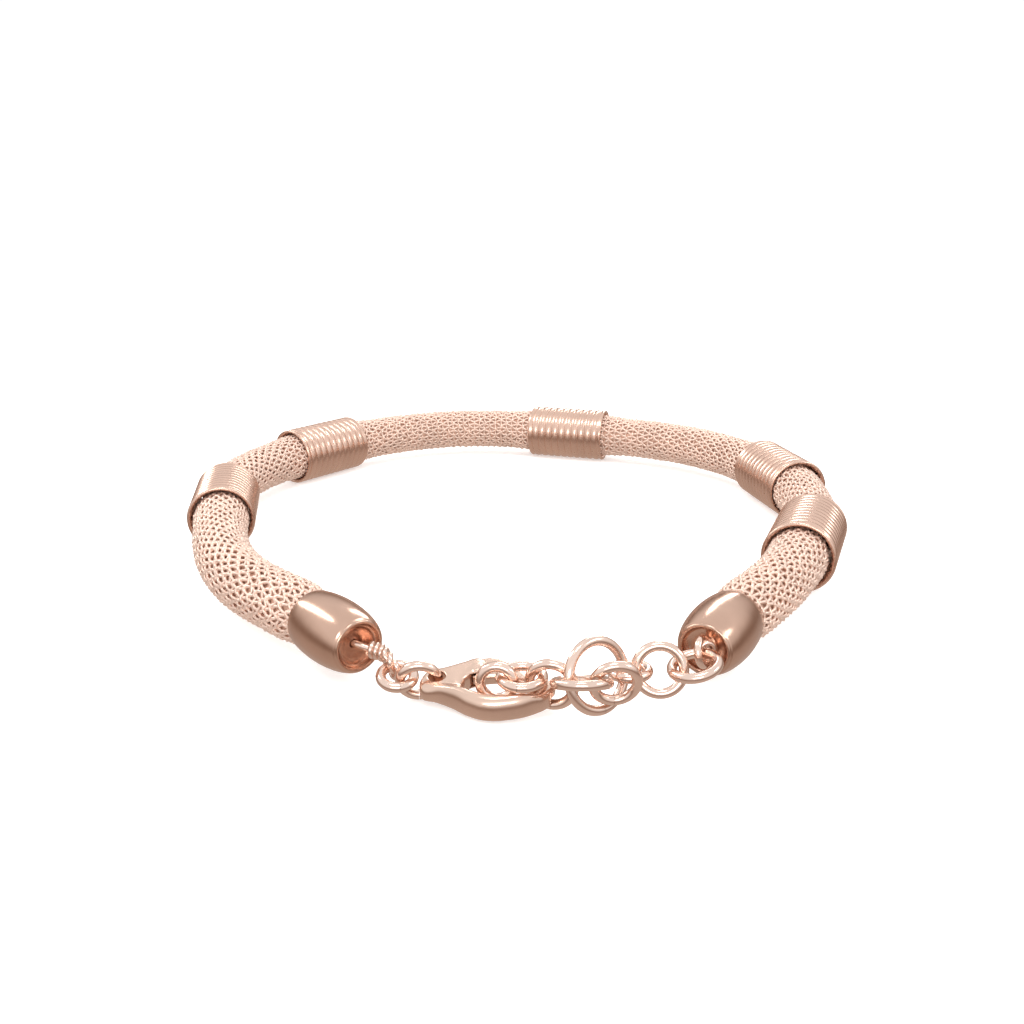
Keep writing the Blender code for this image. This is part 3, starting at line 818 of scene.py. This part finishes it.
def shade_lining(name, route, start, end):
    """A smooth sheet inside the sleeve along one stretch, which carries the painted shade seen through the
    stitches.
    """
    knit = settings("knit")
    station_gap = 0.8 * MM
    depth = 0.8 * knit.wall
    stations = np.linspace(start, end, max(int((end - start) / station_gap), 2))
    data = bpy.data.curves.new(name, "CURVE")
    data.dimensions = "3D"
    data.twist_mode = "Z_UP"
    data.bevel_depth = 1.0
    data.bevel_resolution = 14
    spline = data.splines.new("POLY")
    spline.points.add(len(stations) - 1)
    spline.use_smooth = True
    points = np.concatenate([route.points(stations), np.ones((len(stations), 1))], axis=1)
    spline.points.foreach_set("co", points.ravel())
    spline.points.foreach_set("radius", sleeve_radius(route, stations) - depth)
    obj = bpy.data.objects.new(name, data)
    bpy.context.scene.collection.objects.link(obj)
    obj = as_mesh(obj)
    wall = obj.modifiers.new("Wall", "SOLIDIFY")
    wall.thickness = knit.wire / 2
    wall.offset = -1.0
    return smooth(apply_modifiers(obj), 60)


class BRACELET_OT_sleeve(bpy.types.Operator):
    """Knits the sleeve in one piece for each stretch between caps and beads"""

    bl_idname = "bracelet.sleeve"
    bl_label = "Knitted Sleeve"

    def execute(self, context):
        knit = settings("knit")
        route = laid_route()
        half = settings("bead").length / 2
        tuck = 1.3 * MM
        edges = [settings("cap").length - tuck / 2]
        for place in BEAD_PLACES:
            middle = place * route.length
            edges += [middle - half + tuck, middle + half - tuck]
        edges.append(route.length - settings("cap").length + tuck / 2)
        wire_metal = knit_wire_metal("knit_wire", knit.colour)
        # The lining's material is painted shade, seen through the stitches
        painted_shade_metal = painted_shade_lining_metal("sleeve_lining", knit.shade)
        for part, (start, end) in enumerate(zip(edges[0::2], edges[1::2]), 1):
            name = f"knitted_sleeve_{part}"
            rows = round((end - start) / knit.course)
            random = np.random.default_rng(part)
            courses = []
            for row in range(rows):
                middle = start + (row + 0.5) * (end - start) / rows
                courses += knit_row(route, middle, 0.5 * (row % 2), random)
            wires = smooth(wire_curve(name, courses, knit.wire, 6, closed=True), 80)
            inner = shade_lining(name + "_lining", route, start, end)
            wires.data.materials.append(wire_metal)
            inner.data.materials.append(painted_shade_metal)
            piece = join(name, [wires, inner])
            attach(piece, MAIN_BODY)
            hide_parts("mesh_tube")
        return {"FINISHED"}


# The beads


def bead_outline():
    """The ribbed outside from end to end, between rims that roll into the mouths. The bore closes it."""
    bead = settings("bead")
    half = bead.length / 2
    crest = bead.diameter / 2
    groove = crest - bead.rib_depth
    throat = crest - bead.mouth
    rim = crest - bead.lip
    top = half - bead.end_band
    pitch = 2 * top / bead.ribs
    roll_steps = 6
    rib_steps = 10
    end = []
    for step in range(roll_steps):
        share = step / roll_steps
        end.append((throat + (rim - throat) * share, half - bead.mouth_depth * (1 - share) ** 2))
    for turn in turns(math.pi / 2, 5):
        end.append((crest - bead.lip * (1 - math.sin(turn)), half - bead.lip * (1 - math.cos(turn))))
    ribs = []
    for rib in range(bead.ribs):
        start = top - rib * pitch
        for step in range(rib_steps):
            share = (step + 0.5) / rib_steps
            swell = math.sqrt(1 - (2 * share - 1) ** 2)
            ribs.append((groove + bead.rib_depth * swell, start - share * pitch))
    return end + ribs + [(radius, -height) for radius, height in reversed(end)]


class BRACELET_OT_beads(bpy.types.Operator):
    """Turns the five ribbed beads"""

    bl_idname = "bracelet.beads"
    bl_label = "Ribbed Beads"

    def execute(self, context):
        bead = settings("bead")
        route = laid_route()
        metal = plated_metal("bead", bead.colour)
        first = smooth(turned("bead", bead_outline(), 64), 30)
        for node, place in zip(BEADS, BEAD_PLACES):
            piece = first.copy()
            piece.data = first.data.copy()
            piece.name = node + "_turned"
            context.scene.collection.objects.link(piece)
            settle(piece, along_axis(*bead_lie(route, place)))
            dress(piece, [metal], [node])
        bpy.data.objects.remove(first, do_unlink=True)
        return {"FINISHED"}


# The end caps


def cap_outline():
    """Up the outside from the mesh end, over the rim, down the dish and back through the bore."""
    cap = settings("cap")
    clearance = 0.12 * MM
    soften = 0.05 * MM
    fullness = 0.6
    mouth = settings("knit").neck / 2 + clearance
    hole = cap.hole / 2
    floor = cap.length - cap.dish
    cavity = floor - cap.face_wall
    heights, widths = np.array(CAP_OUTLINE)[::-1].T
    rim = widths[-1] * cap.diameter / 2 - cap.rim
    roll = cap.rim / 2
    shoulder = cap.length - roll
    curve = [(width * cap.diameter / 2, height * cap.length) for height, width in eased(heights, widths, 28)]
    outline = [(radius, height) for radius, height in curve if height < shoulder]
    for turn in turns(math.pi, 10):
        outline.append((rim + roll * (1 + math.cos(turn)), cap.length - roll * (1 - math.sin(turn))))
    for turn in turns(math.pi / 2, 8):
        radius = hole + soften + (rim - hole - soften) * math.cos(turn) ** fullness
        outline.append((radius, shoulder - (cap.dish - roll) * math.sin(turn)))
    outline += [(hole, floor - soften), (hole, cavity), (mouth, cavity), (mouth, soften)]
    return outline + [(mouth + soften, 0.0)]


def eased(places, values, count):
    """Points on a smooth curve through values at rising places."""
    slopes = np.gradient(np.array(values), np.array(places))
    pairs = []
    for place in np.linspace(places[0], places[-1], count):
        i = min(max(int(np.searchsorted(places, place, side="right")) - 1, 0), len(places) - 2)
        gap = places[i + 1] - places[i]
        share = (place - places[i]) / gap
        start = (1 + 2 * share) * (1 - share) ** 2 * values[i] + share * (1 - share) ** 2 * gap * slopes[i]
        end = share**2 * (3 - 2 * share) * values[i + 1] + share**2 * (share - 1) * gap * slopes[i + 1]
        pairs.append((place, start + end))
    return pairs


class BRACELET_OT_caps(bpy.types.Operator):
    """Turns the two end caps"""

    bl_idname = "bracelet.caps"
    bl_label = "End Caps"

    def execute(self, context):
        metal = plated_metal("cap", settings("cap").colour)
        for side, placing in cap_placings(laid_route()).items():
            piece = smooth(turned(f"end_cap_{side}_turned", cap_outline(), 96), 30)
            settle(piece, placing)
            dress(piece, [metal], [f"end_cap_{side}"])
        return {"FINISHED"}


# The rings


def ring_facts(node):
    """A ring's middle, axis, outer diameter and wire, read from its node."""
    points = corners(node)
    middle = points.mean(axis=0)
    spread = points - middle
    axis = np.linalg.eigh(spread.T @ spread)[1][:, 0]
    level = spread - np.outer(spread @ axis, axis)
    reach = np.linalg.norm(level, axis=1)
    return middle, axis, 2 * reach.max(), reach.max() - reach.min()


class BRACELET_OT_rings(bpy.types.Operator):
    """Bends the jump rings and the chain's rings from round wire"""

    bl_idname = "bracelet.rings"
    bl_label = "Rings"

    def execute(self, context):
        ring = settings("ring")
        metal = plated_metal("ring", ring.colour)
        for node in RINGS:
            middle, axis, diameter, wire = ring_facts(node)
            piece = smooth(closed_ring(node + "_wire", diameter, wire, ring.joint), 60)
            settle(piece, along_axis(middle, axis))
            dress(piece, [metal], [node])
        return {"FINISHED"}


# The wire eyes


def helix(placing, radius, rounds, rise):
    """Points of a helix round the placing's Z, centred on its origin."""
    steps = 24
    shares = np.linspace(0.0, 1.0, rounds * steps + 1)
    angles = shares * rounds * 2 * math.pi
    local = np.stack([radius * np.cos(angles), radius * np.sin(angles), (shares - 0.5) * rise], axis=1)
    turn = np.array(placing.to_3x3())
    return local @ turn.T + np.array(placing.translation)


def twisted_pair(path, radius, rounds):
    """Two strands twisted round a path."""
    path = np.array(path)
    along = np.gradient(path, axis=0)
    along /= np.linalg.norm(along, axis=1, keepdims=True)
    up = np.cross(along, np.cross(along, (0.0, 0.0, 1.0)))
    up /= np.linalg.norm(up, axis=1, keepdims=True)
    side = np.cross(along, up)
    angles = np.linspace(0.0, rounds * 2 * math.pi, len(path))[:, None]
    offset = radius * (np.cos(angles) * up + np.sin(angles) * side)
    return path + offset, path - offset


def eye_bends(side, placing, reach):
    """The placing of an eye's loop, and where its stem starts, leaves the cap and meets the loop."""
    cap = settings("cap")
    head = 0.3 * MM
    right, beyond, height, heading, slope, _ = EYE_PLACES[side]
    middle = placing @ Vector((0.0, 0.0, cap.length)) + Vector((right, beyond, 0.0))
    middle.z = height
    normal = direction_of(heading, slope)
    mouth = placing @ Vector((0.0, 0.0, cap.length - cap.dish))
    inside = placing @ Vector((0.0, 0.0, cap.length - cap.dish - cap.face_wall - head))
    towards = mouth - middle
    towards -= towards.dot(normal) * normal
    joint = middle + towards.normalized() * reach
    return along_axis(middle, normal), inside, mouth, joint


class BRACELET_OT_eyes(bpy.types.Operator):
    """Bends and winds the two wire eyes"""

    bl_idname = "bracelet.eyes"
    bl_label = "Wire Eyes"

    def execute(self, context):
        eye = settings("eye")
        loops = {"left": (eye.left_size, eye.left_wire), "right": (eye.right_size, eye.right_wire)}
        loop_steps = 96
        twists = 4
        pressed = 1.08
        winding = 0.38 * MM
        metal = plated_metal("eye", settings("ring").colour)
        for side, placing in cap_placings(laid_route()).items():
            size, wire = loops[side]
            strand = wire / 2
            reach = (size - wire) / 2
            loop, inside, mouth, joint = eye_bends(side, placing, reach)
            start = loop.inverted() @ joint
            around = np.linspace(0.0, 2 * math.pi, loop_steps + 1) + math.atan2(start.y, start.x)
            circle = [loop @ Vector((reach * math.cos(a), reach * math.sin(a), 0.0)) for a in around]
            stem = [inside.lerp(mouth, share) for share in np.linspace(0.0, 1.0, 8)]
            stem += [mouth.lerp(joint, share) for share in np.linspace(0.08, 1.0, 14)]
            if side == "left":
                pair = twisted_pair(circle, strand / 2, twists)
                pieces = [wire_curve("loop", pair, strand * pressed, 12)]
            else:
                pieces = [wire_curve("loop", [circle[:-1]], wire, 14, closed=True)]
            knot = along_axis(mouth.lerp(joint, EYE_PLACES[side][-1]), joint - mouth)
            coil = helix(knot, (eye.knot - winding) / 2, eye.turns, eye.turns * winding)
            pieces.append(wire_curve("stem", [stem], eye.stem, 12))
            pieces.append(wire_curve("knot", [coil], winding, 12))
            whole = join(f"wire_eye_{side}_wound", [smooth(piece, 60) for piece in pieces])
            dress(whole, [metal], [f"wire_eye_{side}"])
        return {"FINISHED"}


# The clasp


def lever_pivot():
    """The lever's pivot in the clasp's own frame."""
    clasp = settings("clasp")
    return Vector((LEVER_PIVOT[0] * clasp.length, LEVER_PIVOT[1] * clasp.width, 0.0))


def clasp_placing():
    """The clasp's own frame: origin at the tail, X along it, Z out of its flat face."""
    clasp = settings("clasp")
    joint = frame["joints"][0]
    z_axis = -Vector(joint["axis"]).normalized()
    heading = Vector((math.cos(clasp.heading), math.sin(clasp.heading), 0.0))
    x_axis = (heading - heading.dot(z_axis) * z_axis).normalized()
    y_axis = z_axis.cross(x_axis)
    turn = Matrix((x_axis, y_axis, z_axis)).transposed()
    return Matrix.Translation(Vector(joint["pos_m"]) - turn @ lever_pivot()) @ turn.to_4x4()


def outline_plate(name, outline, thickness, edge):
    """A flat piece with rounded edges, its outline smooth through the points."""
    clasp = settings("clasp")
    data = bpy.data.curves.new(name, "CURVE")
    data.dimensions = "2D"
    data.fill_mode = "BOTH"
    data.resolution_u = 8
    data.extrude = thickness / 2 - edge
    data.bevel_depth = edge
    data.bevel_resolution = 4
    data.offset = -edge
    spline = data.splines.new("BEZIER")
    spline.bezier_points.add(len(outline) - 1)
    spline.use_cyclic_u = True
    for point, (x, y) in zip(spline.bezier_points, outline):
        point.co = (x * clasp.length, y * clasp.width, 0.0)
        point.handle_left_type = "AUTO"
        point.handle_right_type = "AUTO"
    obj = bpy.data.objects.new(name, data)
    bpy.context.scene.collection.objects.link(obj)
    return as_mesh(obj)


def block(low, high):
    """A plain box to cut with."""
    deselect()
    middle = [(a + b) / 2 for a, b in zip(low, high)]
    size = [b - a for a, b in zip(low, high)]
    bpy.ops.mesh.primitive_cube_add(size=1.0, location=middle, scale=size)
    bpy.ops.object.transform_apply(location=True, rotation=True, scale=True)
    return bpy.context.object


def rod(diameter, depth, middle):
    """A plain round rod to cut or join with."""
    deselect()
    bpy.ops.mesh.primitive_cylinder_add(vertices=32, radius=diameter / 2, depth=depth, location=middle)
    bpy.ops.object.transform_apply(location=True, rotation=True, scale=True)
    return bpy.context.object


def lever_slot():
    """The slot that the lever turns in, open towards the claw and the thumb's side."""
    clasp = settings("clasp")
    pivot = lever_pivot()
    half = (clasp.lever_thickness + 2 * clasp.clearance) / 2
    reach = pivot.x - min(x for x, _ in LEVER_OUTLINE) * clasp.length + 1.5 * clasp.clearance
    return block(
        (pivot.x - reach, pivot.y - reach, -half),
        (pivot.x + 3 * reach, pivot.y + 3 * reach, half),
    )


def tail_cuts():
    """The hole in the tail, and the groove under it that the first ring passes through."""
    clasp = settings("clasp")
    middle = TAIL_HOLE_PLACE * clasp.length
    hole = rod(clasp.tail_hole, 2 * clasp.thickness, (middle, 0.0, 0.0))
    groove = block(
        (-clasp.thickness, -clasp.tail_hole / 2, -clasp.thickness),
        (middle, clasp.tail_hole / 2, clasp.tail_groove - clasp.thickness / 2),
    )
    return hole, groove


def claw_notch():
    """The notch across the underside of the claw's crook, through which the hooked ring passes."""
    clasp = settings("clasp")
    start, middle = CLAW_NOTCH_PLACE
    bottom = -clasp.thickness / 2
    near = middle * clasp.width - clasp.notch_width / 2
    return block(
        (start * clasp.length, near, bottom - clasp.notch_depth),
        (2 * clasp.length, near + clasp.notch_width, bottom + clasp.notch_depth),
    )


def cast(obj, rounds):
    """Gives a carved piece fine even faces and softens its edges, as on a casting, at a scale of 1000."""
    settle(obj, Matrix.Scale(1 / MM, 4))
    even = obj.modifiers.new("Even faces", "REMESH")
    even.mode = "VOXEL"
    even.voxel_size = settings("clasp").grain / MM
    soft = obj.modifiers.new("Soft edges", "SMOOTH")
    soft.factor = 0.5
    soft.iterations = rounds
    apply_modifiers(obj)
    return settle(obj, Matrix.Scale(MM, 4))


def rising(values, shares, whole):
    """0 up to the first share of the whole and 1 from the second, with a smooth change between."""
    low, high = (share * whole for share in shares)
    rise = np.clip((values - low) / (high - low), 0.0, 1.0)
    return rise * rise * (3 - 2 * rise)


def swell_arm(obj):
    """Swells the arm opposite the lever upwards and outwards, as on the casting."""
    clasp = settings("clasp")
    count = len(obj.data.vertices)
    points = np.empty(3 * count)
    facing = np.empty(3 * count)
    obj.data.vertices.foreach_get("co", points)
    obj.data.vertices.foreach_get("normal", facing)
    x, y, z = points.reshape(-1, 3).T
    outwards = np.clip(-facing.reshape(-1, 3)[:, 1], 0.0, 1.0)
    half = clasp.thickness / 2
    arm = rising(-y, ARM_ACROSS, clasp.width) * rising(x, ARM_ALONG, clasp.length)
    lifted = np.where(z > 0.0, z * (1.0 + clasp.swell / half * arm), z)
    bulge = np.clip(1.0 - (z / half) ** 2, 0.0, 1.0) * outwards * rising(-y, BELLY_ACROSS, clasp.width)
    points = np.stack([x, y - clasp.belly * bulge, lifted], axis=1)
    obj.data.vertices.foreach_set("co", points.ravel())
    obj.data.update()


def carve(target, tools, operation="DIFFERENCE"):
    """Cuts the tools from the target, or joins them to it, and removes them."""
    for tool in tools:
        carving = target.modifiers.new("Carve", "BOOLEAN")
        carving.operation = operation
        carving.object = tool
        apply_modifiers(target)
        bpy.data.objects.remove(tool, do_unlink=True)


class BRACELET_OT_clasp(bpy.types.Operator):
    """Shapes the lobster clasp's body and its sprung lever"""

    bl_idname = "bracelet.clasp"
    bl_label = "Lobster Clasp"

    def execute(self, context):
        clasp = settings("clasp")
        placing = clasp_placing()
        metal = plated_metal(
            "clasp", clasp.colour, grain=0.4 * MM, stretch=(1.0, 5.0, 5.0), scratch=0.0003 * MM
        )
        pivot = lever_pivot()
        head = clasp.pin * PIN_HEAD
        proud = 0.06 * MM
        body = outline_plate("clasp_body_shaped", CLASP_OUTLINE, clasp.thickness, clasp.edge)
        swell_arm(cast(body, BODY_ROUNDS[0]))
        carve(body, [lever_slot(), *tail_cuts(), claw_notch()])
        carve(body, [rod(head, clasp.thickness + proud, pivot)], "UNION")
        smooth(settle(cast(body, BODY_ROUNDS[1]), placing), 60)
        dress(body, [metal], ["clasp_body"])

        lever = outline_plate("clasp_lever_shaped", LEVER_OUTLINE, clasp.lever_thickness, clasp.lever_edge)
        cast(lever, LEVER_ROUNDS[0])
        carve(lever, [rod(head + 2 * clasp.clearance, 2 * clasp.thickness, pivot)])
        smooth(settle(cast(lever, LEVER_ROUNDS[1]), placing), 60)
        dress(lever, [metal], ["clasp_lever"], LEVER_BODY)
        return {"FINISHED"}


# The stage


def set_floor():
    """A wide matt floor that shows in no reflection."""
    stage = settings("stage")
    deselect()
    bpy.ops.mesh.primitive_circle_add(vertices=64, radius=3.0, fill_type="NGON")
    floor = bpy.context.object
    floor.name = "floor"
    paint = Finish("floor_paint")
    paint.give("Metallic", 0.0)
    paint.give("Base Color", (*stage.floor_colour, 1.0))
    paint.give("Roughness", 0.9)
    paint.give("Emission Color", WHITE)
    paint.give("Emission Strength", stage.floor_glow)
    floor.data.materials.append(paint.material)
    floor.visible_glossy = False


def set_sky():
    """The light from all round, stronger on matt surfaces, and plain white to the camera."""
    world = bpy.data.worlds.new("studio")
    bpy.context.scene.world = world
    nodes = Nodes(world)
    background = nodes.tree.nodes["Background"]
    place = nodes.node("ShaderNodeTexCoord", {}, {}, "Generated")
    rise = nodes.node("ShaderNodeVectorMath", {"operation": "DOT_PRODUCT"}, [place, SKY_AXIS], "Value")
    tone = nodes.node("ShaderNodeValToRGB", {"stops": SKY_TONES}, [nodes.spread(rise, -1.0, 1.0)])
    from_camera = nodes.node("ShaderNodeLightPath", {}, {}, "Is Camera Ray")
    from_matt = nodes.node("ShaderNodeLightPath", {}, {}, "Is Diffuse Ray")
    strengths = {0: from_matt, 2: SKY_STRENGTH, 3: settings("stage").floor_light}
    nodes.feed(background, "Color", nodes.blend(from_camera, tone, WHITE))
    nodes.feed(background, "Strength", nodes.node("ShaderNodeMix", {}, strengths))


def oval_light(name, place, along, reach, power):
    """An oval light that faces the bracelet and is long in one direction."""
    data = bpy.data.lights.new(name, "AREA")
    data.shape = "ELLIPSE"
    data.size = settings("stage").light_width
    data.size_y = reach
    data.energy = power
    data.color = LIGHT_TONE
    light = bpy.data.objects.new(name, data)
    bpy.context.scene.collection.objects.link(light)
    light.visible_camera = False
    backwards = Vector(place).normalized()
    across = along.cross(backwards).normalized()
    turn = Matrix((across, backwards.cross(across), backwards)).transposed()
    light.matrix_world = Matrix.Translation(place) @ turn.to_4x4()


def set_lights():
    """The oval lights, of which the longest lie along the caps."""
    placings = cap_placings(laid_route())
    ways = {side: placing.to_3x3() @ Vector((0.0, 0.0, 1.0)) for side, placing in placings.items()}
    ways["across"] = Vector((1.0, 0.0, 0.0))
    for name, (place, way, reach, power) in LIGHTS.items():
        oval_light(name, place, ways[way], reach, power)


def set_camera():
    """The camera before the bracelet, looking slightly down on it."""
    stage = settings("stage")
    scene = bpy.context.scene
    data = bpy.data.cameras.new("camera")
    data.sensor_width = 36.0
    data.lens = data.sensor_width * stage.focal_pixels / stage.picture_pixels
    data.clip_start = 1 * MM
    data.clip_end = 20.0
    camera = bpy.data.objects.new("camera", data)
    scene.collection.objects.link(camera)
    camera.location = (-stage.camera_side, -stage.camera_distance, stage.camera_height)
    camera.rotation_euler = (math.pi / 2 - stage.camera_pitch, 0.0, 0.0)
    scene.camera = camera
    scene.view_settings.view_transform = "Standard"


class BRACELET_OT_stage(bpy.types.Operator):
    """Sets the floor, the soft studio light and the camera"""

    bl_idname = "bracelet.stage"
    bl_label = "Stage"

    def execute(self, context):
        set_floor()
        set_sky()
        set_lights()
        set_camera()
        return {"FINISHED"}


# The add-on


class BRACELET_PT_panel(bpy.types.Panel):
    """The operators and the settings in the 3D view's sidebar"""

    bl_idname = "BRACELET_PT_panel"
    bl_label = "Mesh Bracelet"
    bl_space_type = "VIEW_3D"
    bl_region_type = "UI"
    bl_category = "Bracelet"

    def draw(self, context):
        for operator in OPERATORS:
            self.layout.operator(operator.bl_idname)
        for name, group in SETTINGS.items():
            column = self.layout.column()
            column.label(text=name.capitalize())
            for key in group.__annotations__:
                column.prop(settings(name), key)


OPERATORS = (
    BRACELET_OT_sleeve,
    BRACELET_OT_beads,
    BRACELET_OT_caps,
    BRACELET_OT_rings,
    BRACELET_OT_eyes,
    BRACELET_OT_clasp,
    BRACELET_OT_stage,
)
CLASSES = (*SETTINGS.values(), *OPERATORS, BRACELET_PT_panel)


def register():
    for item in CLASSES:
        bpy.utils.register_class(item)
    for name, group in SETTINGS.items():
        setattr(bpy.types.Scene, "bracelet_" + name, bpy.props.PointerProperty(type=group))


def unregister():
    for name in SETTINGS:
        delattr(bpy.types.Scene, "bracelet_" + name)
    for item in reversed(CLASSES):
        bpy.utils.unregister_class(item)


def main():
    """Makes every piece in order."""
    register()
    bpy.ops.bracelet.sleeve()
    bpy.ops.bracelet.beads()
    bpy.ops.bracelet.caps()
    bpy.ops.bracelet.rings()
    bpy.ops.bracelet.eyes()
    bpy.ops.bracelet.clasp()
    bpy.ops.bracelet.stage()


if __name__ == "__main__":
    main()
